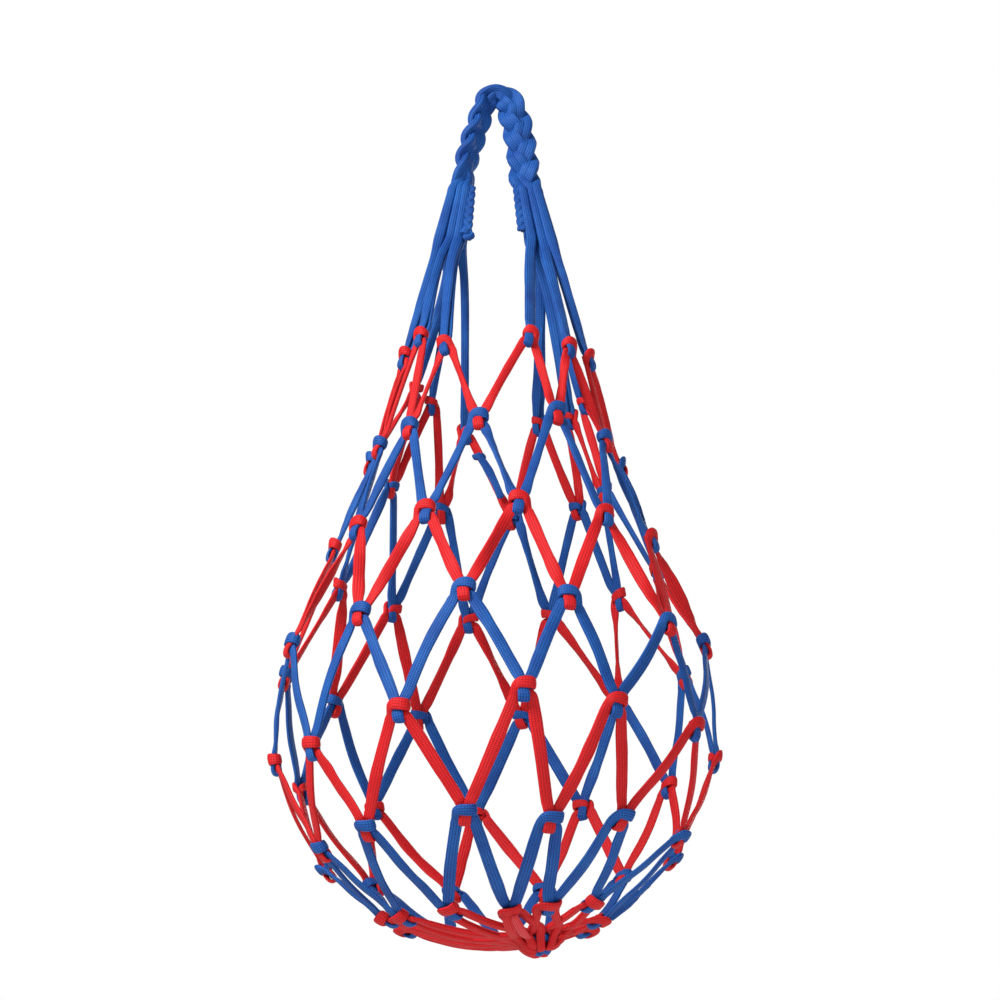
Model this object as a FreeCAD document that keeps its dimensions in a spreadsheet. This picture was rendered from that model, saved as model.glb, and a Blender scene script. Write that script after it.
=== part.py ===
"""Mesh ball bag: a knotted net of flat braided cord under a plaited grip, shaped as if a ball were inside.

Millimetres, +Z up. The origin is the hang point, the inside of the grip's apex, so the bag hangs below it.
Azimuths are in degrees: 0 is the front, -Y, and 90 the right, +X. Rows of knots are counted from the top.
"""
import FreeCAD, Part
import math
import os
import Sketcher

V = FreeCAD.Vector

SIZES = {
    # the ball that the bag is sized for, which isn't part of it, and how the net sits on it
    "ball_radius": 121.5,
    "ball_drop": 402,
    "lean_sideways": -2,
    "lean_forward": 4,
    # flat cord, and the same cord rolled up as it is round the base
    "cord_width": 5.6,
    "cord_thick": 2.2,
    "cord_lift": 1.2,
    "rolled_radius": 2.1,
    "rolled_gap": 0.1,
    # one knot: the collar that a cord ties, and the bight that it ties in
    "knot_width": 11,
    "knot_height": 6.5,
    "knot_thick": 6,
    "knot_edge": 1.2,
    "knot_lift": 3.1,
    "bight_width": 6.2,
    "bight_thick": 3,
    "bight_length": 6.2,
    "bight_inset": 0.4,
    "leg_spread": 3.2,
    "leg_gap": 1.7,
    # heights of the rows of knots over the ball's middle
    "height_row_0": 216,
    "height_row_1": 160,
    "height_row_2": 98,
    "height_row_3": 39,
    "height_row_4": -19,
    "height_row_5": -72,
    "height_row_6": -112,
    # how far the first rows stand out: from the axis, and row 2 from the ball's middle
    "radius_row_0": 61,
    "radius_row_1": 72,
    "reach_row_2": 136.3,
    # the gather under the ball
    "base_right": 24,
    "base_back": 3,
    "base_legs_end": 17,
    "base_leg_clear": 1.1,
    "base_bight_gap": 0.6,
    "base_bight_width": 4.4,
    "base_bight_length": 6.4,
    "draw_ring_radius": 7.4,
    "draw_cord_radius": 2,
    "draw_ring_gap": 0.4,
    "base_knot_radius": 6.5,
    "base_knot_thick": 5.2,
    "base_knot_gap": 2,
    # cut ends of cord: two red ones at the last row, one blue one there and one high up at the back
    "tail_width": 5,
    "tail_thick": 1.6,
    "tail_length": 28,
    "red_tail_aside": 2.8,
    "red_tail_drop": 11.5,
    "lower_tail_lift": 4.8,
    "lower_tail_clear": 6.5,
    "upper_tail_lift": -4.8,
    "upper_tail_clear": 11,
    # the plaited grip
    "strand_radius": 4,
    "apex_radius": 8,
    "fold_drop": 54,
    "grip_left": -18.5,
    "grip_right": 17,
    "root_radius": 8,
    "root_length_left": 15,
    "root_length_right": 16,
    "strand_end": 10.8,
    # the gathers, where each side's cords are pressed together under the plait
    "gather_top_drop": 62.3,
    "gather_bottom_drop": 97,
    "gather_left_top_x": -22.5,
    "gather_left_bottom_x": -28.5,
    "gather_right_top_x": 21.5,
    "gather_right_bottom_x": 28,
    "gather_top_width": 13,
    "gather_bottom_width": 18.5,
    "gather_top_depth": 11,
    "gather_bottom_depth": 18,
    "tie_bottom_drop": 87,
    "tie_tail_radius": 2.6,
    "tie_gap": 0.9,
    "tie_top_gap": 0.6,
    "tie_inset": 3,
    "tie_forward": 9,
    "tie_knot_radius": 4.5,
    "tie_knot_half_height": 3.5,
    "tie_knot_gap": 0.6,
    # hanger cords
    "hanger_gap": 1.8,
    "hanger_spread": 3.2,
    "hanger_pitch": 3,
}

COLUMNS = 12
STEP = 360 / COLUMNS
LAST_ROW = 6
FIRST_ROW_ON_BALL = 3

# the two top rows are drawn towards the two halves of the grip, so their knots aren't evenly spaced
TOP_AZIMUTHS = {
    0: (19, 44, 61, 121, 133, 155, 198, 220, 232, 302, 316, 332),
    1: (353, 29, 60, 89, 118, 138, 173, 207, 239, 276, 294, 318),
}
# each lower row is turned a little further than the one above it
ROW_TURN = {2: -6, 3: -8, 4: -9, 5: -14, 6: -17}
# hand-tied knots stray from their even places: (row, column): (degrees round, mm up)
STRAYS = {
    (0, 3): (0, 2), (0, 4): (0, -3), (0, 6): (0, -4), (0, 7): (0, 9), (0, 8): (0, 14),
    (0, 10): (0, 7), (0, 11): (0, -4),
    (1, 0): (0, -3), (1, 1): (0, 5), (1, 5): (0, -2), (1, 7): (0, 2), (1, 8): (0, 5),
    (2, 1): (2, 0), (2, 9): (2, 4), (2, 11): (0, -4),
    (3, 0): (1, 5), (3, 1): (-2, 0), (3, 2): (0, -5), (3, 11): (2, 0),
    (4, 0): (1, 6), (4, 1): (-5, 1), (4, 2): (-5, -1), (4, 10): (0, -7),
    (5, 0): (4, 0), (5, 1): (0, -4), (5, 2): (-6, 0),
    (6, 0): (7, -2), (6, 2): (-3, 3), (6, 6): (0, 2), (6, 7): (0, 4), (6, 8): (0, 6),
    (6, 9): (0, 6), (6, 10): (-8, 2),
}
# the cord tied on row 0 is the first; each cord's bights are tied in by the next one
CORDS = (
    "red_cord_1", "blue_cord_1", "red_cord_2", "blue_cord_2", "red_cord_3", "blue_cord_3", "red_cord_4",
)
HANGER_COLUMNS = {"right": range(0, 6), "left": range(6, 12)}

doc = FreeCAD.newDocument("mesh_ball_bag")
sheet = doc.addObject("Spreadsheet::Sheet", "Sizes")
nodes = []


def fill_sheet():
    for line, (name, value) in enumerate(SIZES.items(), start=1):
        sheet.set(f"A{line}", name)
        sheet.set(f"B{line}", str(value))
        sheet.setAlias(f"B{line}", name)
    doc.recompute()


def size(name):
    return float(sheet.get(name))


def bind(thing, **expressions):
    for name, expression in expressions.items():
        thing.setExpression(name, expression)


def node(thing, label):
    """Marks a document object as one of the bag's sub-parts, written to a file of that name."""
    thing.Label = label
    nodes.append(thing)
    return thing


# ---------------------------------------------------------------- places

def placed(origin, out, travel):
    """A placement whose local Z runs along travel and whose local Y points out, square to it."""
    along = travel / travel.Length
    wide = out.cross(along).normalize()
    away = along.cross(wide)
    turn = FreeCAD.Rotation(wide, away, along, "ZXY")
    return FreeCAD.Placement(origin, turn)


def ball_middle():
    return V(0, 0, -size("ball_drop"))


def level_direction(azimuth):
    return V(math.sin(math.radians(azimuth)), -math.cos(math.radians(azimuth)), 0)


def lean(share):
    """The net's own axis leans a little; the rows that hang free lean less or not at all."""
    sideways = FreeCAD.Rotation(V(0, 1, 0), share * size("lean_sideways"))
    forward = FreeCAD.Rotation(V(1, 0, 0), share * size("lean_forward"))
    return sideways * forward


def knot_azimuth(row, column):
    if row in TOP_AZIMUTHS:
        return TOP_AZIMUTHS[row][column]
    half = STEP / 2 if row % 2 == 0 else 0
    return STEP * column + half + ROW_TURN[row] + STRAYS.get((row, column), (0, 0))[0]


def knot_middle(row, column):
    column %= COLUMNS
    height = size(f"height_row_{row}") + STRAYS.get((row, column), (0, 0))[1]
    if row < 2:
        radius, share = size(f"radius_row_{row}"), 0
    elif row == 2:
        radius, share = math.sqrt(size("reach_row_2") ** 2 - height ** 2), 0.5
    else:
        reach = size("ball_radius") + size("knot_lift")
        radius, share = math.sqrt(reach ** 2 - height ** 2), 1
    spot = level_direction(knot_azimuth(row, column)) * radius + V(0, 0, height)
    return ball_middle() + lean(share).multVec(spot)


def neighbours(row, column):
    """The columns of the two knots that a knot is joined to in the row above or below, left one first."""
    first = column if row % 2 == 0 else column - 1
    return first % COLUMNS, (first + 1) % COLUMNS


def base_axis():
    """The direction from the ball's middle to the middle of the gather under the ball."""
    right, back, reach = size("base_right"), size("base_back"), size("ball_radius")
    return V(right, back, -math.sqrt(reach ** 2 - right ** 2 - back ** 2)).normalize()


def base_spot(column, around, reach):
    """A point beside the gather's axis, that far around it, on the way to a column."""
    axis = base_axis()
    flat = level_direction(STEP * column + ROW_TURN[LAST_ROW])
    flat = (flat - axis * flat.dot(axis)).normalize()
    return ball_middle() + axis * math.sqrt(reach ** 2 - around ** 2) + flat * around


def hanger_order(side):
    """A side's columns, from the front knot to the rear one."""
    return sorted(HANGER_COLUMNS[side], key=lambda column: knot_middle(0, column).y)


def hanger_top(side, place, sign):
    """Where one cord of a hanger leaves the gather: six pairs, one behind the other."""
    across = size(f"gather_{side}_bottom_x") + sign * size("hanger_spread")
    behind = (place - 2.5) * size("hanger_pitch")
    return V(across, behind, -size("gather_bottom_drop") - size("hanger_gap"))


def knot_frame(row, column):
    """A knot's middle, with the directions to its side, out of the net and down the net."""
    middle = knot_middle(row, column)
    if row == 0:
        side = next(name for name, group in HANGER_COLUMNS.items() if column in group)
        above = hanger_top(side, hanger_order(side).index(column), 0)
    else:
        ends = [knot_middle(row - 1, other) for other in neighbours(row, column)]
        above = (ends[0] + ends[1]) * 0.5
    if row == LAST_ROW:
        below = ball_middle() + base_axis() * size("ball_radius")
    else:
        ends = [knot_middle(row + 1, other) for other in neighbours(row, column)]
        below = (ends[0] + ends[1]) * 0.5
    down = (below - above).normalize()
    if row < 2:
        out = level_direction(knot_azimuth(row, column))
    else:
        out = (middle - ball_middle()).normalize()
    side = out.cross(down).normalize()
    if row >= FIRST_ROW_ON_BALL:
        down = side.cross(out)
    else:
        out = down.cross(side)
    return middle, side, out, down


def leg_end(row, column, aside, upwards):
    """Where a leg leaves a knot, below it or above it, that far to its side."""
    middle, side, out, down = knot_frame(row, column)
    beyond = size("knot_height") / 2 + size("leg_gap")
    inset = size("knot_lift") - size("cord_lift")
    return middle + side * aside + down * (-beyond if upwards else beyond) - out * inset


# ---------------------------------------------------------------- shared sketches

def closed_sketch(name, edges, constraints, body=None, plane="XY_Plane"):
    """A sketch on its own, or attached to one of its body's origin planes."""
    if body is None:
        sketch = doc.addObject("Sketcher::SketchObject", name)
    else:
        sketch = body.newObject("Sketcher::SketchObject", name)
        origin_plane = next(item for item in body.Origin.OriginFeatures if item.Role == plane)
        sketch.AttachmentSupport = [(origin_plane, "")]
        sketch.MapMode = "FlatFace"
    sketch.addGeometry(edges, False)
    sketch.addConstraint(constraints)
    return sketch


def name_and_bind(sketch, bindings):
    for number, name, expression in bindings:
        sketch.renameConstraint(number, name)
        sketch.setExpression(f".Constraints.{name}", expression)


def stadium_sketch(name, wide, thick, body=None):
    """A slot shape: two straight sides joined by half circles, as a flat cord's section is."""
    join = Sketcher.Constraint
    edges = [
        Part.LineSegment(V(-2, 1, 0), V(2, 1, 0)),
        Part.LineSegment(V(-2, -1, 0), V(2, -1, 0)),
        Part.ArcOfCircle(Part.Circle(V(-2, 0, 0), V(0, 0, 1), 1), math.pi / 2, 3 * math.pi / 2),
        Part.ArcOfCircle(Part.Circle(V(2, 0, 0), V(0, 0, 1), 1), -math.pi / 2, math.pi / 2),
    ]
    constraints = [
        join("Tangent", 0, 1, 2, 1), join("Tangent", 1, 1, 2, 2),
        join("Tangent", 1, 2, 3, 1), join("Tangent", 0, 2, 3, 2),
        join("Horizontal", 0), join("Equal", 2, 3), join("Symmetric", 2, 3, 3, 3, -1, 1),
        join("DistanceX", 2, 3, 3, 3, 4), join("Radius", 3, 1),
    ]
    sketch = closed_sketch(name, edges, constraints, body)
    name_and_bind(sketch, [(7, "centres", f"{wide} - {thick}"), (8, "round", f"{thick} / 2")])
    return sketch


def tongue_body(name, wide, thick, long):
    """A flat tongue with a round end: its straight end on the XY plane, its length along Z."""
    join = Sketcher.Constraint
    body = doc.addObject("PartDesign::Body", name)
    edges = [
        Part.LineSegment(V(-2, 4, 0), V(-2, 0, 0)),
        Part.LineSegment(V(-2, 0, 0), V(2, 0, 0)),
        Part.LineSegment(V(2, 0, 0), V(2, 4, 0)),
        Part.ArcOfCircle(Part.Circle(V(0, 4, 0), V(0, 0, 1), 2), 0, math.pi),
    ]
    constraints = [
        join("Coincident", 0, 2, 1, 1), join("Coincident", 1, 2, 2, 1),
        join("Tangent", 2, 2, 3, 1), join("Tangent", 3, 2, 0, 1),
        join("Horizontal", 1), join("Vertical", 0), join("Symmetric", 1, 1, 1, 2, -1, 1),
        join("DistanceX", 1, 1, 1, 2, 4), join("DistanceY", 2, 1, 2, 2, 4),
    ]
    sketch = closed_sketch(f"{name}_outline", edges, constraints, body, "XZ_Plane")
    name_and_bind(sketch, [(7, "wide", wide), (8, "straight", f"{long} - {wide} / 2")])
    pad = body.newObject("PartDesign::Pad", f"{name}_pad")
    pad.Profile = sketch
    pad.SideType = "Symmetric"
    bind(pad, Length=thick)
    return body


def collar_body():
    """The turn of cord round a bight's two legs, taken as one rounded block."""
    body = doc.addObject("PartDesign::Body", "collar")
    sketch = stadium_sketch("collar_section", "Sizes.knot_width", "Sizes.knot_thick", body)
    pad = body.newObject("PartDesign::Pad", "collar_pad")
    pad.Profile = sketch
    pad.SideType = "Symmetric"
    bind(pad, Length="Sizes.knot_height")
    doc.recompute()
    flat = [
        f"Edge{number}"
        for number, edge in enumerate(pad.Shape.Edges, start=1)
        if edge.BoundBox.ZLength < 0.01
    ]
    rounding = body.newObject("PartDesign::Fillet", "collar_edges")
    rounding.Base = (pad, flat)
    bind(rounding, Radius="Sizes.knot_edge")
    return body


def group(label, things):
    """Identical pieces of one cord, as one sub-part of separate solids."""
    compound = doc.addObject("Part::Compound", label)
    compound.Links = things
    return node(compound, label)


def copy_of(body, name, placement):
    link = doc.addObject("App::Link", name)
    link.LinkedObject = body
    link.Placement = placement
    return link


# ---------------------------------------------------------------- cords of the net

def straight_leg(name, section, start, finish, out):
    leg = doc.addObject("Part::Extrusion", name)
    leg.Base = section
    leg.DirMode = "Custom"
    leg.Dir = V(0, 0, 1)
    leg.LengthFwd = start.distanceToPoint(finish)
    leg.Solid = True
    leg.Placement = placed(start, out, finish - start)
    return leg


def ball_leg(name, section, start, finish, lift):
    """A leg that lies on the ball: its section turned about the ball's middle, along a great circle."""
    middle = ball_middle()
    reach = size("ball_radius") + lift
    here = (start - middle).normalize()
    there = (finish - middle).normalize()
    travel = there - here * there.dot(here)
    leg = doc.addObject("Part::Revolution", name)
    leg.Source = section
    leg.Axis = V(1, 0, 0)
    leg.Base = V(0, -reach, 0)
    leg.Angle = math.degrees(here.getAngle(there))
    leg.Solid = True
    leg.Placement = placed(middle + here * reach, here, travel)
    return leg


def cord_legs(row, section, rolled):
    """All the legs of one cord, from the row that it ties down to the row that ties it."""
    legs = []
    for column in range(COLUMNS):
        for sign, other in zip((-1, 1), neighbours(row, column)):
            name = f"{CORDS[row]}_leg_{column}_{'left' if sign < 0 else 'right'}"
            if row == LAST_ROW:
                clear = size("bight_width") / 2 + size("rolled_radius") + size("base_leg_clear")
                start = leg_end(row, column, sign * clear, False)
                middle = base_spot(other, size("base_legs_end"), size("ball_radius"))
                aside = base_axis().cross(middle - ball_middle()).normalize()
                finish = middle + aside * (sign * size("rolled_radius"))
                lift = size("rolled_radius") + size("rolled_gap")
                legs.append(ball_leg(name, rolled, start, finish, lift))
                continue
            spread = sign * size("leg_spread")
            start = leg_end(row, column, spread, False)
            finish = leg_end(row + 1, other, -spread, True)
            if row < FIRST_ROW_ON_BALL:
                out = knot_frame(row, column)[2] + knot_frame(row + 1, other)[2]
                legs.append(straight_leg(name, section, start, finish, out))
            else:
                legs.append(ball_leg(name, section, start, finish, size("cord_lift")))
    return group(f"{CORDS[row]}_legs", legs)


def cord_knots(row, collar):
    knots = []
    for column in range(COLUMNS):
        middle, _, out, down = knot_frame(row, column)
        knots.append(copy_of(collar, f"{CORDS[row]}_knot_{column}", placed(middle, out, down)))
    return group(f"{CORDS[row]}_knots", knots)


def cord_bights(row, name, bight):
    """The ends of the loops that a row's knots tie in, seen below each collar."""
    bights = []
    for column in range(COLUMNS):
        middle, _, out, down = knot_frame(row, column)
        outwards = (size("knot_thick") - size("bight_thick")) / 2 - size("bight_inset")
        spot = middle + down * (size("knot_height") / 2) + out * outwards
        bights.append(copy_of(bight, f"{name}_bight_{column}", placed(spot, out, down)))
    return group(f"{name}_bights", bights)


def net_cords():
    section = stadium_sketch("cord_section", "Sizes.cord_width", "Sizes.cord_thick")
    rolled = doc.addObject("Part::Circle", "rolled_section")
    bind(rolled, Radius="Sizes.rolled_radius")
    collar = collar_body()
    bight = tongue_body("bight", "Sizes.bight_width", "Sizes.bight_thick", "Sizes.bight_length")
    doc.recompute()
    for row, cord in enumerate(CORDS):
        cord_knots(row, collar)
        cord_legs(row, section, rolled)
        cord_bights(row, "hanger" if row == 0 else CORDS[row - 1], bight)
    hangers(section)


def hangers(section):
    """Twelve hairpins of cord, from the gathers down to the top knots, two legs each."""
    front = V(0, -1, 0)
    for side in HANGER_COLUMNS:
        for place, column in enumerate(hanger_order(side)):
            legs = []
            for sign in (-1, 1):
                top = hanger_top(side, place, sign)
                foot = leg_end(0, column, 0, True) + V(sign * size("hanger_spread"), 0, 0)
                name = f"hanger_{side}_{place + 1}_leg_{'left' if sign < 0 else 'right'}"
                legs.append(straight_leg(name, section, top, foot, front))
            group(f"hanger_{side}_{place + 1}", legs)


# ---------------------------------------------------------------- base

def base_gather():
    """Under the ball, the last cord's bights are drawn together on a ring of blue cord."""
    reach = size("ball_radius")
    axis = base_axis()
    bight = tongue_body(
        "base_bight", "Sizes.base_bight_width", "Sizes.bight_thick", "Sizes.base_bight_length"
    )
    bights = []
    for column in range(COLUMNS):
        around = size("base_legs_end") - size("base_bight_gap")
        spot = base_spot(column, around, reach + size("rolled_radius"))
        inwards = ball_middle() + axis * reach - spot
        placement = placed(spot, (spot - ball_middle()).normalize(), inwards - axis * inwards.dot(axis))
        bights.append(copy_of(bight, f"base_bight_{column}", placement))
    group(f"{CORDS[LAST_ROW]}_bights", bights)

    ring = doc.addObject("Part::Torus", "draw_ring")
    bind(ring, Radius1="Sizes.draw_ring_radius", Radius2="Sizes.draw_cord_radius")
    middle = ball_middle() + axis * (reach + size("draw_cord_radius") + size("draw_ring_gap"))
    ring.Placement = placed(middle, V(0, -1, 0), axis)
    node(ring, "base_draw_cord")

    knot = doc.addObject("Part::Ellipsoid", "draw_knot")
    bind(
        knot, Radius1="Sizes.base_knot_thick", Radius2="Sizes.base_knot_radius",
        Radius3="Sizes.base_knot_radius",
    )
    middle = ball_middle() + axis * (reach + size("base_knot_thick") + size("base_knot_gap"))
    knot.Placement = placed(middle, V(0, -1, 0), axis)
    node(knot, "base_knot")


def tail(label, start, out, travel):
    """A cut end of cord: a flat tongue that points along travel."""
    body = tongue_body(label, "Sizes.tail_width", "Sizes.tail_thick", "Sizes.tail_length")
    body.Placement = placed(start, out, travel)
    node(body, label)


def tail_on_ball(label, column, aside, drop):
    """A cut end below a knot of the last row, lying along the net, that far past the knot and to its side."""
    middle, side, out, down = knot_frame(LAST_ROW, column)
    reach = size("ball_radius") + size("cord_thick") * 2 + size("tail_thick")
    ends = []
    for distance in (drop, drop + size("tail_length")):
        angle = distance / reach
        ends.append(ball_middle() + (out * math.cos(angle) + down * math.sin(angle)) * reach + side * aside)
    tail(label, ends[0], out, ends[1] - ends[0])


def tail_on_leg(label, row, column, lift, clear):
    """A cut end along a knot's left leg, outside or inside it, that stops short of the next knot."""
    other = neighbours(row, column)[0]
    top, bottom = knot_middle(row, column), knot_middle(row + 1, other)
    out = knot_frame(row, column)[2] + knot_frame(row + 1, other)[2]
    travel = bottom - top
    start = bottom - travel / travel.Length * (size("tail_length") + clear)
    tail(label, start + out / out.Length * lift, out, travel)


# ---------------------------------------------------------------- grip and gathers

def arch_sketch(name, outwards):
    """One strand's line over the apex: a straight leg up, an arc and a straight leg down."""
    drop = size("apex_radius") - size("strand_radius") - inner_offset()
    centre = V(0, -drop, 0)
    radius = size("apex_radius") + outwards
    fold = V(0, -size("fold_drop"), 0)
    ends, tangents, angles = [], [], []
    for hand in ("left", "right"):
        sign = -1 if hand == "left" else 1
        foot = fold + V(size(f"grip_{hand}"), 0, 0) - centre
        reach = math.hypot(foot.x, foot.y)
        slope = math.acos(size("apex_radius") / reach) - math.atan2(-foot.y, abs(foot.x))
        normal = V(sign * math.cos(slope), math.sin(slope), 0)
        along = V(sign * math.sin(slope), -math.cos(slope), 0)
        run = foot.dot(along) - size("strand_end")
        tangents.append(centre + normal * radius)
        ends.append(centre + normal * radius + along * run)
        angles.append(math.atan2(normal.y, normal.x))
    sketch = doc.addObject("Sketcher::SketchObject", name)
    sketch.addGeometry([
        Part.LineSegment(ends[0], tangents[0]),
        Part.ArcOfCircle(Part.Circle(centre, V(0, 0, 1), radius), angles[1], angles[0]),
        Part.LineSegment(tangents[1], ends[1]),
    ], False)
    join = Sketcher.Constraint
    sketch.addConstraint([join("Tangent", 0, 2, 1, 2), join("Tangent", 1, 1, 2, 1)])
    return sketch, ends[0], (tangents[0] - ends[0]).normalize()


def inner_offset():
    """How far inside the grip's middle line its two inner strands lie, three round strands being nested."""
    return size("strand_radius") / math.sqrt(3)


def plait_strand(number, outwards, sideways):
    line, start, along = arch_sketch(f"strand_line_{number}", outwards)
    upright = FreeCAD.Rotation(V(1, 0, 0), 90)
    line.Placement = FreeCAD.Placement(V(0, sideways, 0), upright)
    circle = doc.addObject("Part::Circle", f"strand_section_{number}")
    bind(circle, Radius="Sizes.strand_radius")
    here = line.Placement.multVec(start)
    circle.Placement = placed(here, V(0, -1, 0), upright.multVec(along))
    doc.recompute()
    strand = doc.addObject("Part::Sweep", f"strand_{number}")
    strand.Sections = [circle]
    strand.Spine = (line, [f"Edge{edge}" for edge in range(1, len(line.Shape.Edges) + 1)])
    strand.Solid = True
    node(strand, f"plait_strand_{number}")


def grip():
    radius, inner = size("strand_radius"), inner_offset()
    plait_strand(1, -inner, -radius)
    plait_strand(2, -inner, radius)
    plait_strand(3, 2 * inner, 0)
    for hand in ("left", "right"):
        root = doc.addObject("Part::Cylinder", f"root_{hand}")
        bind(root, Radius="Sizes.root_radius", Height=f"Sizes.root_length_{hand}")
        middle = V(size(f"grip_{hand}"), 0, -size("fold_drop"))
        start = middle - V(size(f"root_length_{hand}") / 2, 0, 0)
        root.Placement = placed(start, V(0, 0, 1), V(1, 0, 0))
        node(root, f"plait_root_{hand}")


def gathers():
    """Under the fold, each side's twelve cord legs run pressed together before they fan out."""
    for hand in ("left", "right"):
        sections = []
        for level in ("top", "bottom"):
            sketch = stadium_sketch(
                f"gather_{hand}_{level}", f"Sizes.gather_{level}_width", f"Sizes.gather_{level}_depth"
            )
            middle = V(size(f"gather_{hand}_{level}_x"), 0, -size(f"gather_{level}_drop"))
            sketch.Placement = FreeCAD.Placement(middle, FreeCAD.Rotation())
            sections.append(sketch)
        gather = doc.addObject("Part::Loft", f"gather_{hand}_solid")
        gather.Sections = sections
        gather.Solid = True
        gather.Ruled = True
        node(gather, f"gather_{hand}")


def tie(hand):
    """The thin end of the plait, which runs on down the inner side of the gather, a little in front of it."""
    sign = 1 if hand == "left" else -1
    clear = size("tie_tail_radius") + size("tie_gap")
    spots = []
    for level in ("top", "bottom"):
        across = size(f"gather_{hand}_{level}_x") + sign * (size(f"gather_{level}_width") / 2 + clear)
        spots.append(V(across, 0, -size(f"gather_{level}_drop")))
    spots[0] -= V(0, 0, size("tie_top_gap"))
    spots[1] += V(-sign * size("tie_inset"), -size("tie_forward"), 0)
    run = size("gather_bottom_drop") - size("gather_top_drop")
    share = (size("tie_bottom_drop") - size("gather_top_drop")) / run
    foot = spots[0] + (spots[1] - spots[0]) * share
    thin = doc.addObject("Part::Cylinder", f"tie_{hand}")
    bind(thin, Radius="Sizes.tie_tail_radius")
    thin.Height = spots[0].distanceToPoint(foot)
    thin.Placement = placed(spots[0], V(0, -1, 0), foot - spots[0])
    node(thin, f"tie_tail_{hand}")
    return foot


def tie_knot(foot):
    knot = doc.addObject("Part::Ellipsoid", "tie_lump")
    bind(
        knot, Radius1="Sizes.tie_knot_radius", Radius2="Sizes.tie_knot_half_height",
        Radius3="Sizes.tie_knot_radius",
    )
    gap = size("tie_knot_gap")
    middle = foot - V(0, gap, size("tie_knot_radius") + gap)
    knot.Placement = FreeCAD.Placement(middle, FreeCAD.Rotation())
    node(knot, "tie_knot")


# ---------------------------------------------------------------- the whole bag

def check_and_write():
    doc.recompute()
    broken = [
        thing.Name for thing in doc.Objects if "Invalid" in thing.State or "Error" in thing.State
    ]
    if broken:
        raise RuntimeError(f"objects that failed: {broken}")
    for thing in nodes:
        if thing.Shape.isNull() or not thing.Shape.isValid():
            raise RuntimeError(f"{thing.Label} has no valid shape")
    os.makedirs("parts", exist_ok=True)
    for thing in nodes:
        thing.Shape.exportStep(f"parts/{thing.Label}.step")
        print(f"{thing.Label}: {len(thing.Shape.Solids)} solids, {thing.Shape.Volume:.0f} mm3")


fill_sheet()
grip()
gathers()
tie_knot(tie("left"))
tie("right")
net_cords()
base_gather()
tail_on_ball("red_tail_1", 0, -size("red_tail_aside"), size("red_tail_drop"))
tail_on_ball("red_tail_2", 0, size("red_tail_aside"), size("red_tail_drop"))
tail_on_leg("blue_tail_1", 5, 4, size("lower_tail_lift"), size("lower_tail_clear"))
tail_on_leg("blue_tail_2", 0, 6, size("upper_tail_lift"), size("upper_tail_clear"))
check_and_write()
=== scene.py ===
"""The looks of the mesh ball bag: each cord is one long flat ribbon that runs through its knots.

Lengths are in millimetres up to the point where a mesh is made. The frame is the CAD's: hang point at the
origin, +Z up, -Y the front. Azimuths are in degrees, 0 at the front and 90 at the right. Rows of knots count
from the top.
"""
import math
import random

import bmesh
import bpy
import numpy as np
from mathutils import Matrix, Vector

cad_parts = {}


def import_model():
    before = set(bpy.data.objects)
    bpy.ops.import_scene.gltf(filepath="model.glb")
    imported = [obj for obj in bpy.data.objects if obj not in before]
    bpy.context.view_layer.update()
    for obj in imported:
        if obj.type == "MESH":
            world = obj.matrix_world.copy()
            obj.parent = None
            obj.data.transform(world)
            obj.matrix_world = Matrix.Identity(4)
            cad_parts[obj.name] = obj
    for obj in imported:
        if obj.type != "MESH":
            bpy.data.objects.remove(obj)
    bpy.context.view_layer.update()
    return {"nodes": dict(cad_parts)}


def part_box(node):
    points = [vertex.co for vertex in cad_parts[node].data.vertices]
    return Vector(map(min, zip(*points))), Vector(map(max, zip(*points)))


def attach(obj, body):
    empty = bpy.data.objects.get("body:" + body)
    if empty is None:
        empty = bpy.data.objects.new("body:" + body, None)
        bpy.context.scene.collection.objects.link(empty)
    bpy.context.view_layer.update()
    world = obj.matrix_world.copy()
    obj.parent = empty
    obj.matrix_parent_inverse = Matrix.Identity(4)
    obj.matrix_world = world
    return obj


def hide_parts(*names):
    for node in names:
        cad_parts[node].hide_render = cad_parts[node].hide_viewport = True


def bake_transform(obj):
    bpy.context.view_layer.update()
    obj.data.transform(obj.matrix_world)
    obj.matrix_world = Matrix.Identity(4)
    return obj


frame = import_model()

METRES = 0.001
COLUMNS = 12
LAST_ROW = 6
FIRST_ROW_ON_BALL = 3

# the ball that the net is shaped round, which isn't part of the bag
BALL_MIDDLE = np.array([0.0, 0.0, -402.0])
BALL_RADIUS = 121.5

# each cord of the net ties one row of knots; its own bights are tied in by the next cord down
ROW_CORDS = (
    "red_cord_1", "blue_cord_1", "red_cord_2", "blue_cord_2", "red_cord_3", "blue_cord_3", "red_cord_4",
)
SIDES = {"right": range(0, 6), "left": range(6, 12)}

# flat cord: its width and thickness where it lies flat, hangs free and is rolled up under the ball
FLAT = (6.9, 2.2)
FREE = (5.2, 2.5)
ROLLED = (5.0, 3.5)

# the knitted surface: length of one stitch, and ribs counted all the way round
STITCH = 1.25
RIBS = 10


# ---------------------------------------------------------------- small vector helpers

def vec(*values):
    return np.array(values, float)


def unit(vector):
    return vector / np.linalg.norm(vector)


def mix(a, b, share):
    return a * (1 - share) + b * share


def smooth(share):
    share = min(1.0, max(0.0, share))
    return share * share * (3 - 2 * share)


def turned(vector, axis, angle):
    """vector turned about a unit axis."""
    cosine = math.cos(angle)
    across = np.cross(axis, vector)
    return vector * cosine + across * math.sin(angle) + axis * (axis @ vector) * (1 - cosine)


# ---------------------------------------------------------------- where the knots are, read from the CAD

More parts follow.
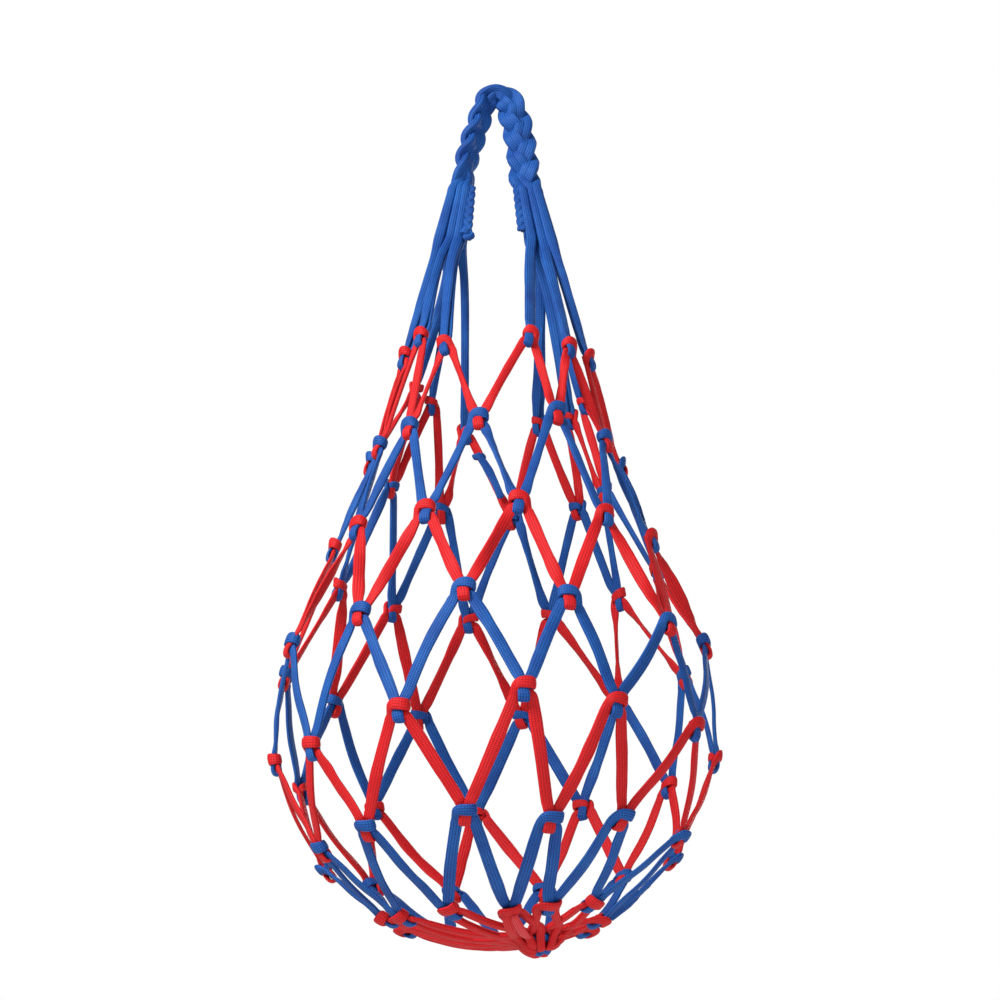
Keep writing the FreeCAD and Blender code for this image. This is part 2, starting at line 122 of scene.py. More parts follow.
def solid_middles(node):
    """The middle of each separate solid of a CAD node."""
    mesh = bmesh.new()
    mesh.from_mesh(frame["nodes"][node].data)
    bmesh.ops.remove_doubles(mesh, verts=mesh.verts, dist=1e-7)
    middles, seen = [], set()
    for first in mesh.verts:
        if first in seen:
            continue
        seen.add(first)
        solid = [first]
        for vert in solid:
            for edge in vert.link_edges:
                other = edge.other_vert(vert)
                if other not in seen:
                    seen.add(other)
                    solid.append(other)
        spots = np.array([vert.co for vert in solid]) / METRES
        middles.append((spots.min(0) + spots.max(0)) / 2)
    mesh.free()
    return middles


def box_middle(node):
    low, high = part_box(node)
    return np.array((low + high) / 2) / METRES


def level_middle(node, level):
    """The middle of a CAD node's outline at its top or bottom."""
    spots = np.array([vert.co for vert in frame["nodes"][node].data.vertices]) / METRES
    height = spots[:, 2].max() if level == "top" else spots[:, 2].min()
    ring = spots[abs(spots[:, 2] - height) < 0.5]
    return (ring.min(0) + ring.max(0)) / 2


def azimuth(spot):
    """In degrees, from just left of the front round to the same place, so that columns come in order."""
    return (math.degrees(math.atan2(spot[0], -spot[1])) + 15) % 360 - 15


ROWS = [sorted(solid_middles(f"{cord}_knots"), key=azimuth) for cord in ROW_CORDS]
BASE_AXIS = unit(box_middle("base_draw_cord") - BALL_MIDDLE)
GATHERS = {
    (side, level): level_middle(f"gather_{side}", level) for side in SIDES for level in ("top", "bottom")
}


def neighbours(row, column):
    """The columns of the two knots that a knot is joined to in the row above or below, left one first."""
    first = column if row % 2 == 0 else column - 1
    return first % COLUMNS, (first + 1) % COLUMNS


def side_of(column):
    return next(side for side, columns in SIDES.items() if column in columns)


def base_spot(column, around, reach):
    """A point beside the gather under the ball, that far around its axis, on the way to a column's gap."""
    left, right = ROWS[LAST_ROW][(column - 1) % COLUMNS], ROWS[LAST_ROW][column % COLUMNS]
    flat = unit(unit(left - BALL_MIDDLE) + unit(right - BALL_MIDDLE))
    flat = unit(flat - BASE_AXIS * (flat @ BASE_AXIS))
    return BALL_MIDDLE + BASE_AXIS * math.sqrt(reach ** 2 - around ** 2) + flat * around


def knot_frame(row, column):
    """A knot's middle, with the directions to its side, down the net and out of it."""
    middle = ROWS[row][column]
    if row == 0:
        above = GATHERS[side_of(column), "bottom"]
    else:
        above = sum(ROWS[row - 1][other] for other in neighbours(row, column)) / 2
    if row == LAST_ROW:
        below = BALL_MIDDLE + BASE_AXIS * BALL_RADIUS
    else:
        below = sum(ROWS[row + 1][other] for other in neighbours(row, column)) / 2
    down = unit(below - above)
    out = unit(middle * vec(1, 1, 0)) if row < 2 else unit(middle - BALL_MIDDLE)
    side = unit(np.cross(out, down))
    if row >= FIRST_ROW_ON_BALL:
        return middle, side, np.cross(side, out), out
    return middle, side, down, np.cross(down, side)


KNOTS = [[knot_frame(row, column) for column in range(COLUMNS)] for row in range(len(ROW_CORDS))]


# ---------------------------------------------------------------- ribbons

def stop(spot, face, width, thick):
    """One point that a ribbon goes through, the way that its flat face looks there, and its section."""
    return np.concatenate([spot, unit(face), [width, thick]])


def through(stops, closed, fine, coarse):
    """Points along a smooth curve through the stops, close together where the stops are, for one ribbon."""
    stops = np.array(stops)
    count = len(stops)
    if closed:
        padded = np.concatenate([stops[-1:], stops, stops[:2]])
    else:
        first, last = 2 * stops[0] - stops[1], 2 * stops[-1] - stops[-2]
        padded = np.concatenate([[first], stops, [last]])
    gaps = np.linalg.norm(np.diff(padded[:, :3], axis=0), axis=1)
    knots = np.concatenate([[0], np.cumsum(np.maximum(gaps, 0.05) ** 0.5)])
    rows = []
    for i in range(1, (count if closed else count - 1) + 1):
        length = gaps[i]
        step = coarse if length > 3 * coarse else fine
        number = max(2, round(length / step))
        a, b, c, d = padded[i - 1:i + 3]
        t0, t1, t2, t3 = knots[i - 1:i + 3]
        slope_1 = ((b - a) / (t1 - t0) - (c - a) / (t2 - t0) + (c - b) / (t2 - t1)) * (t2 - t1)
        slope_2 = ((c - b) / (t2 - t1) - (d - b) / (t3 - t1) + (d - c) / (t3 - t2)) * (t2 - t1)
        share = np.arange(number)[:, None] / number
        curve = (
            b * (2 * share ** 3 - 3 * share ** 2 + 1) + slope_1 * (share ** 3 - 2 * share ** 2 + share)
            + c * (3 * share ** 2 - 2 * share ** 3) + slope_2 * (share ** 3 - share ** 2)
        )
        curve[:, 3:] = b[3:] + (c[3:] - b[3:]) * (3 * share ** 2 - 2 * share ** 3)
        rows.append(curve)
    if not closed:
        rows.append(stops[-1:])
    return np.concatenate(rows)


SECTION_POINTS = 16
SQUARENESS = 2.7


def section_outline():
    """A flat cord's section, one wide and one thick, as a squared-off ellipse."""
    angles = 2 * np.pi * (np.arange(SECTION_POINTS) + 0.5) / SECTION_POINTS
    flat = np.sign(np.cos(angles)) * abs(np.cos(angles)) ** (2 / SQUARENESS)
    deep = np.sign(np.sin(angles)) * abs(np.sin(angles)) ** (2 / SQUARENESS)
    return flat / 2, deep / 2


def section_shares():
    """How far round the section each point is, from 0 to 1, with the first point again at the end."""
    flat, deep = section_outline()
    outline = np.stack([flat * FLAT[0], deep * FLAT[1]], axis=1)
    steps = np.linalg.norm(np.roll(outline, -1, axis=0) - outline, axis=1)
    return np.concatenate([[0], np.cumsum(steps)]) / steps.sum()


def rounded_ends(path):
    """Extra rings that close an open ribbon's two ends with a small round."""
    shrink = ((0.35, 0.82, 0.72), (0.62, 0.45, 0.35))
    rings = [path]
    for end, nearby, before in ((path[-1], path[-2], False), (path[0], path[1], True)):
        away = unit(end[:3] - nearby[:3])
        extra = []
        for reach, width, thick in shrink:
            ring = end.copy()
            ring[:3] += away * reach * end[7]
            ring[6:8] *= (width, thick)
            extra.append(ring)
        rings = [np.array(extra[::-1]), *rings] if before else [*rings, np.array(extra)]
    return np.concatenate(rings)


def ribbon(stops, closed=False, fine=0.9, coarse=2.2):
    """Vertices, faces and UVs of one ribbon: u is in stitches along it and v goes from 0 to 1 round it."""
    path = through(stops, closed, fine, coarse)
    if not closed:
        path = rounded_ends(path)
    spots = path[:, :3]
    if closed:
        along = np.roll(spots, -1, axis=0) - np.roll(spots, 1, axis=0)
    else:
        along = np.gradient(spots, axis=0)
    along /= np.linalg.norm(along, axis=1)[:, None]
    face = path[:, 3:6]
    face = face - along * (face * along).sum(1)[:, None]
    face /= np.linalg.norm(face, axis=1)[:, None]
    wide = np.cross(along, face)
    flat, deep = section_outline()
    verts = (
        spots[:, None, :]
        + wide[:, None, :] * (flat[None, :, None] * path[:, 6, None, None])
        + face[:, None, :] * (deep[None, :, None] * path[:, 7, None, None])
    )
    rings, points = len(path), SECTION_POINTS
    ahead = np.roll(spots, -1, axis=0) - spots
    if not closed:
        ahead = ahead[:-1]
    run = np.concatenate([[0], np.cumsum(np.linalg.norm(ahead, axis=1))])
    stitches = max(1, round(run[-1] / STITCH))
    run *= stitches / run[-1]
    ring = np.arange(rings if closed else rings - 1)[:, None]
    point = np.arange(points)[None, :]
    ring_next, point_next = (ring + 1) % rings, (point + 1) % points
    faces = np.stack([
        ring * points + point, ring_next * points + point,
        ring_next * points + point_next, ring * points + point_next,
    ], axis=-1).reshape(-1, 4)
    share = section_shares()
    u = np.stack([run[ring + step + 0 * point] for step in (0, 1, 1, 0)], axis=-1)
    v = np.stack([share[point + step + 0 * ring] for step in (0, 0, 1, 1)], axis=-1)
    uvs = np.stack([u, v], axis=-1).reshape(-1, 4, 2)
    caps = []
    if not closed:
        caps = [list(range(points))[::-1], list(range((rings - 1) * points, rings * points))]
    return verts.reshape(-1, 3), faces, uvs, caps


def piece(name, ribbons, material):
    """One Blender object from one or more ribbons."""
    verts, faces, uvs = [], [], []
    for spots, quads, places, caps in ribbons:
        base = sum(len(v) for v in verts)
        verts.append(spots)
        faces.extend((quads + base).tolist())
        uvs.append(places.reshape(-1, 2))
        for cap in caps:
            faces.append([base + index for index in cap])
            uvs.append(np.zeros((len(cap), 2)))
    mesh = bpy.data.meshes.new(name)
    mesh.from_pydata((np.concatenate(verts) * METRES).tolist(), [], faces)
    layer = mesh.uv_layers.new(name="cord")
    layer.data.foreach_set("uv", np.concatenate(uvs).astype(np.float32).ravel())
    mesh.shade_smooth()
    mesh.materials.append(material)
    thing = bpy.data.objects.new(name, mesh)
    bpy.context.scene.collection.objects.link(thing)
    return thing


# ---------------------------------------------------------------- the way through a knot

# A cord ties a knot: up its left leg, across the front, round behind the bight's two legs, then through the
# bight and off down its right leg. Each line is side, down, out; the way the flat face looks; width and
# thickness.
COLLAR = (
    (-5.6, 8.8, -1.5, 0, 0, 1, 6.6, 2.2),
    (-5.6, 5.4, -0.8, -0.3, 0, 1, 5.7, 2.4),
    (-5.5, 2.6, 0.6, -0.5, 0, 0.9, 5.1, 2.6),
    (-4.6, 0.4, 2.0, -0.5, -0.1, 0.9, 5.3, 2.6),
    (-2.3, -0.5, 2.9, -0.2, 0, 1, 6.1, 2.4),
    (0.4, -0.6, 3.2, 0, 0, 1, 6.6, 2.3),
    (3.2, -0.4, 2.7, 0.4, 0, 0.9, 6.6, 2.3),
    (5.0, -0.1, 1.2, 1, 0, 0.3, 6.4, 2.3),
    (5.2, 0.1, -0.7, 1, 0, -0.5, 6.0, 2.2),
    (3.6, 0.3, -2.3, 0.3, 0, -1, 5.6, 1.9),
    (0.6, 0.5, -2.5, 0, 0, -1, 5.0, 1.7),
    (-2.4, 1.1, -2.3, -0.2, 0, -1, 4.4, 1.7),
    (-4.0, 2.4, -1.5, -1, 0.1, 0, 3.8, 2.0),
    (-2.4, 3.8, -0.4, -0.2, 0, 1, 3.8, 2.0),
    (0.9, 4.6, -0.2, 0, 0, 1, 4.6, 2.1),
    (3.8, 6.0, -0.4, 0.1, 0, 1, 5.8, 2.3),
    (5.0, 8.8, -1.3, 0, 0, 1, 6.5, 2.2),
)

# A bight that is tied in: down the left leg, the front of the fold, its end, the back of the fold, up the
# right leg.
BIGHT = (
    (-4.4, -6.8, -1.4, 0, 0, 1, 6.6, 2.2),
    (-2.9, -3.5, 0.2, 0.1, 0, 1, 6.2, 2.3),
    (-1.8, 0.0, 0.8, 0, 0, 1, 5.0, 2.5),
    (-0.7, 3.2, 1.6, 0, 0, 1, 6.2, 2.4),
    (-0.1, 6.0, 1.9, 0, 0.1, 1, 6.7, 2.3),
    (0.1, 8.5, 1.2, 0, 0.7, 0.7, 6.6, 2.2),
    (0.3, 9.2, -0.3, 0, 1, -0.1, 6.3, 2.1),
    (0.6, 8.4, -1.7, 0, 0.6, -0.8, 5.8, 1.9),
    (1.2, 6.0, -2.3, 0, 0, -1, 5.6, 1.8),
    (1.8, 3.0, -1.9, 0, 0, -1, 5.4, 2.0),
    (2.2, 0.0, -0.9, 0.1, 0, -1, 5.0, 2.5),
    (2.9, -3.5, -0.9, 0, 0, -1, 6.2, 2.3),
    (4.4, -6.8, -1.5, 0, 0, -1, 6.6, 2.2),
)


# how much of the way a route's end stops swing towards the places that its legs go to
AIM = 0.7


def aimed(stops, first_target, last_target):
    """Swings a route's two end stops most of the way towards the places that its legs go to."""
    for end, inner, target in ((stops[0], stops[1], first_target), (stops[-1], stops[-2], last_target)):
        reach = np.linalg.norm(end[:3] - inner[:3])
        heading = mix(unit(end[:3] - inner[:3]), unit(target - inner[:3]), AIM)
        end[:3] = inner[:3] + unit(heading) * reach
    return stops


# how wide each row's knots are pulled, and how far their fronts lean down
KNOT_SPREAD = (0.64, 0.82, 0.86, 0.95, 0.95, 0.95, 0.95)
KNOT_LEAN = (0.5, 0.45, 0.3, 0, 0, 0, 0)


def in_knot(row, column, route, mirrored, sign, chance):
    """A route's stops in the bag's frame. A mirrored one runs the other way, to still start at the left."""
    middle, side, down, out = KNOTS[row][column]
    tilt = chance.uniform(-0.09, 0.09)
    jitter = [chance.uniform(-0.25, 0.25) for _ in range(3)]
    hand = -1 if mirrored else 1
    slack = chance.uniform(0.88, 1.06)
    stops = []
    for aside, below, away, look_side, look_down, look_out, width, thick in route:
        place = vec(aside * hand * KNOT_SPREAD[row], below * (slack if below > 5 else 1), away)
        place += vec(place[1] * tilt * 0.6, -place[0] * tilt, 0) + jitter
        spot = middle + side * place[0] + down * place[1] + out * place[2]
        lean = KNOT_LEAN[row] if away > 1 and look_out > 0.8 else 0
        face = side * look_side * hand + down * (look_down + lean) + out * look_out
        narrow = mix(1, KNOT_SPREAD[row], 0.5)
        stops.append(stop(spot, face * sign, width * narrow, thick))
    return stops[::-1] if mirrored else stops


def flipped(route):
    """A bight's route with its front made from the right-hand leg; the flat face's look is reversed."""
    return tuple((-a, b, c, -la, lb, lc, w, t) for a, b, c, la, lb, lc, w, t in route[::-1])


def on_ball(spot, reach):
    return BALL_MIDDLE + unit(spot - BALL_MIDDLE) * reach


def leg_stops(start, finish, row, size, chance):
    """Stops between two knots: along the ball where the cord lies on it, straight where it hangs free."""
    here, there = start[:3], finish[:3]
    travel = unit(there - here)
    free = row < FIRST_ROW_ON_BALL
    twist = chance.uniform(-1.2, 1.2) if free else chance.uniform(-0.12, 0.12)
    sway = chance.uniform(-0.5, 0.5)
    stops = []
    for share in (0.2, 0.4, 0.6, 0.8):
        middling = math.sin(math.pi * share)
        spot = mix(here, there, share)
        face = mix(start[3:6], finish[3:6], share)
        if not free:
            sign = 1 if face @ (spot - BALL_MIDDLE) > 0 else -1
            spot = on_ball(spot, BALL_RADIUS + size[1] / 2 + 0.05)
            face = unit(spot - BALL_MIDDLE) * sign
        face = turned(unit(face), travel, twist * middling)
        spot = spot + np.cross(travel, unit(face)) * sway * middling
        width = size[0] * (1 + chance.uniform(-0.1, 0.06))
        stops.append(stop(spot, face, width, size[1]))
    return stops


def base_bight(column, sign, chance):
    """The last cord's bight under the ball: over the draw cord, with its end bunched in the middle."""
    reach = BALL_RADIUS
    outward = unit(base_spot(column, 14, reach) - BALL_MIDDLE)
    aside = unit(np.cross(BASE_AXIS, base_spot(column, 14, reach) - BALL_MIDDLE))
    wander, droop, swell = chance.uniform(-1.0, 1.0), chance.uniform(0, 3.2), chance.uniform(0.95, 1.3)
    stops = []
    for around, lift, shift, look_in, look_out, width, thick in (
        (17.0, 2.0, -2.4, 0, 1, 5.0, 3.4), (13.0, 4.2, -1.4, 0, 1, 4.8, 3.0),
        (9.6, 6.8 + droop / 2, -0.5, -0.3, 1, 4.5, 2.7), (6.6, 7.6 + droop, 0.0, 0.4, 1, 4.4, 2.6),
        (4.3, 6.2 + droop, 0.2, 1, 0.4, 4.2, 2.5), (3.7, 4.0 + droop / 2, 0.2, 1, -0.2, 3.6, 2.3),
        (5.0, 1.9, 0.4, 0.5, -1, 3.6, 1.9), (8.0, 1.2, 0.8, 0, -1, 3.8, 1.8),
        (12.0, 1.5, 1.6, 0, -1, 4.6, 2.6), (17.0, 2.0, 2.4, 0, -1, 5.0, 3.4),
    ):
        spot = base_spot(column, around, reach + lift) + aside * (shift + wander)
        inward = unit(BALL_MIDDLE + BASE_AXIS * (reach + lift) - spot)
        fat = swell if lift > 5 else 1
        stops.append(stop(spot, (inward * look_in + outward * look_out) * sign, width * fat, thick * fat))
    return stops


def leg_target(row, other):
    """Where a row's legs go to: a knot of the row below, or the gather under the ball."""
    return base_spot(other, 17, BALL_RADIUS) if row == LAST_ROW else ROWS[row + 1][other]


# the chance that a knot is mirrored, and that a bight is flipped
MIRRORED, FLIPPED = 0.25, 0.35


def row_cord(row, chance):
    """All the stops of one row's cord, once round the bag: twelve knots, and twelve bights a row below."""
    stops, sign = [], 1
    size = FREE if row < FIRST_ROW_ON_BALL - 1 else ROLLED if row == LAST_ROW else FLAT
    for column in range(COLUMNS):
        collar = in_knot(row, column, COLLAR, chance.random() < MIRRORED, sign, chance)
        below = neighbours(row, column)[1]
        collar = aimed(collar, *(leg_target(row, other) for other in neighbours(row, column)))
        if row == LAST_ROW:
            bight = base_bight(below, sign, chance)
        else:
            route = flipped(BIGHT) if chance.random() < FLIPPED else BIGHT
            turn = sign if route is BIGHT else -sign
            bight = in_knot(row + 1, below, route, False, turn, chance)
            bight = aimed(bight, ROWS[row][column], ROWS[row][(column + 1) % COLUMNS])
        if stops:
            stops += leg_stops(stops[-1], collar[0], row, size, chance)
        stops += collar
        stops += leg_stops(stops[-1], bight[0], row, size, chance)
        stops += bight
        sign = -sign
    stops += leg_stops(stops[-1], stops[0], row, size, chance)
    return stops


# ---------------------------------------------------------------- hangers and gathers

# heights where the plait's cords become the gathers' cords, where the gathers end, and between the two
SPLIT = -63.0
GATHER_FOOT = -94.0
IN_GATHER = (SPLIT, -69, -77, -86, GATHER_FOOT)
# a hanger's two legs come down to its knot one behind the other
HANGER_BIGHT = (
    (-0.8, -6.8, 0.2, 0, 0, 1, 6.2, 2.2), (-1.4, -3.5, 0.9, 0.1, 0, 1, 5.6, 2.3), *BIGHT[2:-2],
    (1.4, -3.5, -1.6, 0, 0, -1, 5.6, 2.3), (0.8, -6.8, -2.6, 0, 0, -1, 6.2, 2.2),
)
SLOT_COLUMNS, SLOT_ROWS = 3, 4


def slot_places():
    """Where each of a side's twelve cords runs in its gather: share across, share back, a small turn."""
    chance = random.Random(5)
    places = []
    for back in range(SLOT_ROWS):
        for across in range(SLOT_COLUMNS):
            places.append((
                (across - (SLOT_COLUMNS - 1) / 2) / SLOT_COLUMNS + chance.uniform(-0.05, 0.05),
                (back - (SLOT_ROWS - 1) / 2) / SLOT_ROWS + chance.uniform(-0.04, 0.04),
                chance.uniform(-0.3, 0.3),
            ))
    return places


SLOTS = slot_places()
# a gather's outline at its top and bottom, across and front to back, and one cord's section there
GATHER_SHAPES = {"top": (14.5, 11.5, 5.4, 3.1), "bottom": (19.5, 17.0, 6.4, 2.9)}


def slot_stop(side, index, height):
    """A stop for one cord in a gather, at that height."""
    top, bottom = GATHERS[side, "top"], GATHERS[side, "bottom"]
    share = (height - top[2]) / (bottom[2] - top[2])
    across, back, turn = SLOTS[index]
    shape = mix(np.array(GATHER_SHAPES["top"]), np.array(GATHER_SHAPES["bottom"]), share)
    middle = mix(top, bottom, share)
    spot = vec(middle[0] + across * shape[0], back * shape[1], height)
    return stop(spot, vec(math.sin(turn), -math.cos(turn), 0), shape[2], shape[3])


# each hanger's place across its gather, whether it is in the back half, how far it bows sideways, its width
HANGER_PLACES = {
    0: (0, 0, -0.6, 6.4), 1: (1, 0, -0.4, 6.0), 2: (2, 0, 0, 5.2), 3: (2, 1, -3.6, 5.0),
    4: (0, 1, 3.2, 6.2), 5: (1, 1, 0.0, 6.4), 6: (2, 1, 1.5, 4.8), 7: (0, 1, 6.5, 5.0),
    8: (1, 1, 3.2, 5.2), 9: (0, 0, 0.8, 5.4), 10: (1, 0, -2.2, 5.4), 11: (2, 0, -2.0, 5.4),
}


# under 1, this puts a hanger's widest bow above the middle of its leg
BOW_HIGH = 0.6


def slot_pair(column):
    """The two slots, one behind the other, that a hanger's two cords have in the gather."""
    across, back = HANGER_PLACES[column][:2]
    return [row * SLOT_COLUMNS + across for row in (2 * back, 2 * back + 1)]


def hanger_leg(side, index, foot, bow, wide, chance):
    """One cord from the top of its gather down to a knot, without the knot."""
    stops = [slot_stop(side, index, height) for height in IN_GATHER]
    last = stops[-1]
    if last[3:6] @ foot[3:6] < 0:
        for row in stops:
            row[3:6] *= -1
    twist = chance.uniform(-0.5, 0.5)
    for share in (0.18, 0.36, 0.56, 0.76, 0.92):
        spot = mix(last[:3], foot[:3], share) + vec(bow * math.sin(math.pi * share ** BOW_HIGH), 0, 0)
        face = unit(mix(last[3:6], foot[3:6], share))
        face = turned(face, unit(foot[:3] - last[:3]), twist * math.sin(math.pi * share))
        width = mix(wide + 0.4, wide, share) * (1 + chance.uniform(-0.08, 0.06))
        stops.append(stop(spot, face, width, mix(2.7, FREE[1], share)))
    return stops


def hanger(side, column, chance):
    """A hairpin of cord: down one leg, through a top knot as its bight, and up the other leg."""
    places = slot_pair(column)
    bow, wide = HANGER_PLACES[column][2:]
    bight = in_knot(0, column, HANGER_BIGHT, False, 1, chance)
    bight = aimed(bight, *(slot_stop(side, place, GATHER_FOOT)[:3] for place in places))
    down = hanger_leg(side, places[0], bight[0], bow, wide, chance)
    up = hanger_leg(side, places[1], bight[-1], bow, wide, chance)
    return down + bight + up[::-1]


# ---------------------------------------------------------------- the plaited grip

# the grip's middle line in the XZ plane, from the left fold over the apex to the right one
GRIP_LINE = (
    (-18.9, -50), (-18.0, -40), (-15.2, -26), (-11.7, -12), (-8.8, -1), (-5.8, 6.9), (0.8, 9.8), (6.8, 7.0),
    (9.8, -1), (13.0, -13), (15.5, -29), (17.0, -43), (17.8, -54),
)
PLAIT_PITCH = 44.0
PLAIT_HALF_WIDTH = 4.6
PLAIT_HALF_DEPTH = 2.3
PLAIT_FACE_LEFT, PLAIT_FACE_RIGHT = math.radians(64), math.radians(6)
LEFT_SLIMNESS = 0.86
# over the apex the plait is drawn in: by how much, how far along the line, and over what length
APEX_PINCH, APEX_PLACE, APEX_REACH = 0.24, 0.47, 9.0
# its cords shrink less there, because this fixed fullness makes up this share of their size
CORD_FULLNESS, CORD_KEEPS = 1.03, 0.6
# the shares of the line where the plait's face starts to turn from left to right, and that the turn takes
FACE_TURNS_FROM, FACE_TURNS_OVER = 0.3, 0.4
# each strand also rolls this far each way, once in this length
ROLL, ROLL_PITCH = 0.35, 31
STRAND_CORDS = ((-2.3, -0.9), (2.1, -1.0), (-2.1, 1.0), (2.3, 0.9))
PLAIT_CORD = (6.0, 2.9)


def grip_line():
    """Points each 2.5 mm or so along the grip's middle line."""
    stops = [stop(vec(x, 0, z), vec(0, 1, 0), 1, 1) for x, z in GRIP_LINE]
    return through(stops, False, 2.5, 2.5)[:, :3]


def plait_cords(strand):
    """The four cords of one strand, from the left gather over the apex to the right one."""
    line = grip_line()
    along = np.gradient(line, axis=0)
    steps = np.linalg.norm(along, axis=1)
    along /= steps[:, None]
    run = np.concatenate([[0], np.cumsum(np.linalg.norm(np.diff(line, axis=0), axis=1))])
    total = run[-1]
    depth = vec(0, 1, 0)
    places = []
    for spot, travel, distance in zip(line, along, run):
        phase = 2 * math.pi * (distance / PLAIT_PITCH + strand / 3)
        past_apex = smooth((distance / total - FACE_TURNS_FROM) / FACE_TURNS_OVER)
        face = mix(PLAIT_FACE_LEFT, PLAIT_FACE_RIGHT, past_apex)
        inplane = np.cross(depth, travel)
        wide = inplane * math.cos(face) + depth * math.sin(face)
        deep = depth * math.cos(face) - inplane * math.sin(face)
        from_apex = (distance - total * APEX_PLACE) / APEX_REACH
        pinch = 1 - APEX_PINCH * math.exp(-from_apex ** 2)
        swing = wide * PLAIT_HALF_WIDTH * math.sin(phase) + deep * PLAIT_HALF_DEPTH * math.sin(2 * phase)
        slim = pinch * mix(LEFT_SLIMNESS, 1, past_apex)
        places.append((spot + swing * slim, wide, deep, slim, mix(pinch, CORD_FULLNESS, CORD_KEEPS)))
    centres = np.array([place[0] for place in places])
    slopes = np.gradient(centres, axis=0)
    cords = []
    for aside, behind in STRAND_CORDS:
        stops = []
        for (centre, wide, deep, slim, full), slope, distance in zip(places, slopes, run):
            slope = unit(slope)
            across = unit(wide - slope * (wide @ slope))
            away = np.cross(slope, across)
            if away @ deep < 0:
                away = -away
            roll = ROLL * math.sin(2 * math.pi * distance / ROLL_PITCH + strand * 2.1)
            turn_across = across * math.cos(roll) + away * math.sin(roll)
            turn_away = away * math.cos(roll) - across * math.sin(roll)
            spot = centre + (turn_across * aside + turn_away * behind) * slim
            stops.append(stop(spot, turn_away, PLAIT_CORD[0] * full, PLAIT_CORD[1] * full))
        cords.append(stops)
    return cords


def plait_ends(cords, side, slots):
    """Leads one end of each cord from the plait into its slot in the gather."""
    joined = []
    for stops, index in zip(cords, slots):
        ends = [slot_stop(side, index, height) for height in (-58.0, SPLIT)]
        if ends[0][3:6] @ stops[-1][3:6] < 0:
            for row in ends:
                row[3:6] *= -1
        joined.append(stops + ends)
    return joined


def plait_strand(strand):
    """A strand's four ribbons, with both ends led into the gathers."""
    cords = plait_cords(strand)
    left = {0: (0, 1, 3, 4), 1: (2, 5, 8, 11), 2: (6, 7, 9, 10)}[strand]
    right = {0: (0, 3, 6, 9), 1: (1, 4, 7, 10), 2: (2, 5, 8, 11)}[strand]
    cords = plait_ends(cords, "right", right)
    cords = plait_ends([stops[::-1] for stops in cords], "left", left)
    return [ribbon(stops, fine=1.2, coarse=2.2) for stops in cords]


# ---------------------------------------------------------------- thin tails, ties and knots

def thin_plait(top, foot, pitch, swing, size, phase):
    """Three thin cords plaited along a straight line."""
    ribbons = []
    travel = unit(foot - top)
    across = unit(np.cross(vec(0, 1, 0), travel))
    length = np.linalg.norm(foot - top)
    for strand in range(3):
        stops = []
        for distance in np.arange(0, length + 0.1, length / round(length / 1.6)):
            angle = 2 * math.pi * (distance / pitch + strand / 3) + phase
            spot = top + travel * distance + across * swing * math.sin(angle)
            spot = spot + vec(0, 1, 0) * swing * 0.7 * math.sin(2 * angle)
            stops.append(stop(spot, vec(0, 1, 0), *size))
        ribbons.append(ribbon(stops, fine=0.8, coarse=0.8))
    return ribbons


def overhand(middle, axis, reach, squash, size, turn):
    """A tight overhand knot: a trefoil of cord drawn up round the axis."""
    first = unit(np.cross(axis, vec(0.3, 0.9, 0.2)))
    second = np.cross(axis, first)
    stops = []
    for step in range(30):
        angle = 2 * math.pi * step / 30 + turn
        x = (math.sin(angle) + 2 * math.sin(2 * angle)) / 3
        y = (math.cos(angle) - 2 * math.cos(2 * angle)) / 3
        spot = middle + first * x * reach + second * y * reach - axis * math.sin(3 * angle) * reach * squash
        stops.append(stop(spot, unit(spot - middle) + axis * 0.3, *size))
    return ribbon(stops, closed=True, fine=0.7, coarse=0.7)


RED_END_LENGTH = 35.0
RED_END_DROP = 2.5


def tongue(aside, spread, lift, sizes):
    """A red cut end that leaves the last row's front knot and lies along the ball, to a rounded tip."""
    _, side, down, out = KNOTS[LAST_ROW][0]
    stops = []
    for step, (width, thick) in enumerate(sizes):
        share = step / (len(sizes) - 1)
        angle = (RED_END_DROP + RED_END_LENGTH * share) / BALL_RADIUS
        reach = BALL_RADIUS + lift + mix(6.2, 2.2, share) + 1.6 * math.sin(math.pi * share)
        spot = BALL_MIDDLE + (out * math.cos(angle) + down * math.sin(angle)) * reach
        stops.append(stop(spot + side * mix(aside, aside + spread, share), out, width, thick))
    return ribbon(stops, fine=0.8, coarse=1.2)


def cut_end(node, before, sizes, bend, shift, stray, roll):
    """A blue cut end along its CAD solid, upper end first: shifted, bent aside, rolled, its tip astray."""
    spots = np.array([vert.co for vert in frame["nodes"][node].data.vertices]) / METRES
    middle = (spots.min(0) + spots.max(0)) / 2
    axes = np.linalg.svd(spots - spots.mean(0))[2]
    along, flat_side, face = axes if axes[0][2] < 0 else -axes
    reach = (spots - middle) @ along
    stops = []
    for step, (width, thick) in enumerate(sizes):
        share = step / (len(sizes) - 1)
        spot = middle + shift + along * mix(reach.min() - before, reach.max(), share) + stray * share ** 2
        look = turned(face, along, roll * smooth(share * 1.6))
        stops.append(stop(spot + flat_side * bend * math.sin(math.pi * share), look, width, thick))
    return ribbon(stops, fine=0.8, coarse=1.2), stops[0], along


def wrap(spot, along, radius, size):
    """A small closed turn of cord at the upper end of a cut end."""
    first = unit(np.cross(along, vec(0.2, 0.9, 0.1)))
    second = np.cross(along, first)
    stops = []
    for step in range(12):
        angle = 2 * math.pi * step / 12
        outward = first * math.cos(angle) + second * math.sin(angle)
        stops.append(stop(spot + outward * radius + along * 1.2 * math.cos(angle), outward, *size))
    return ribbon(stops, closed=True, fine=0.8, coarse=0.8)


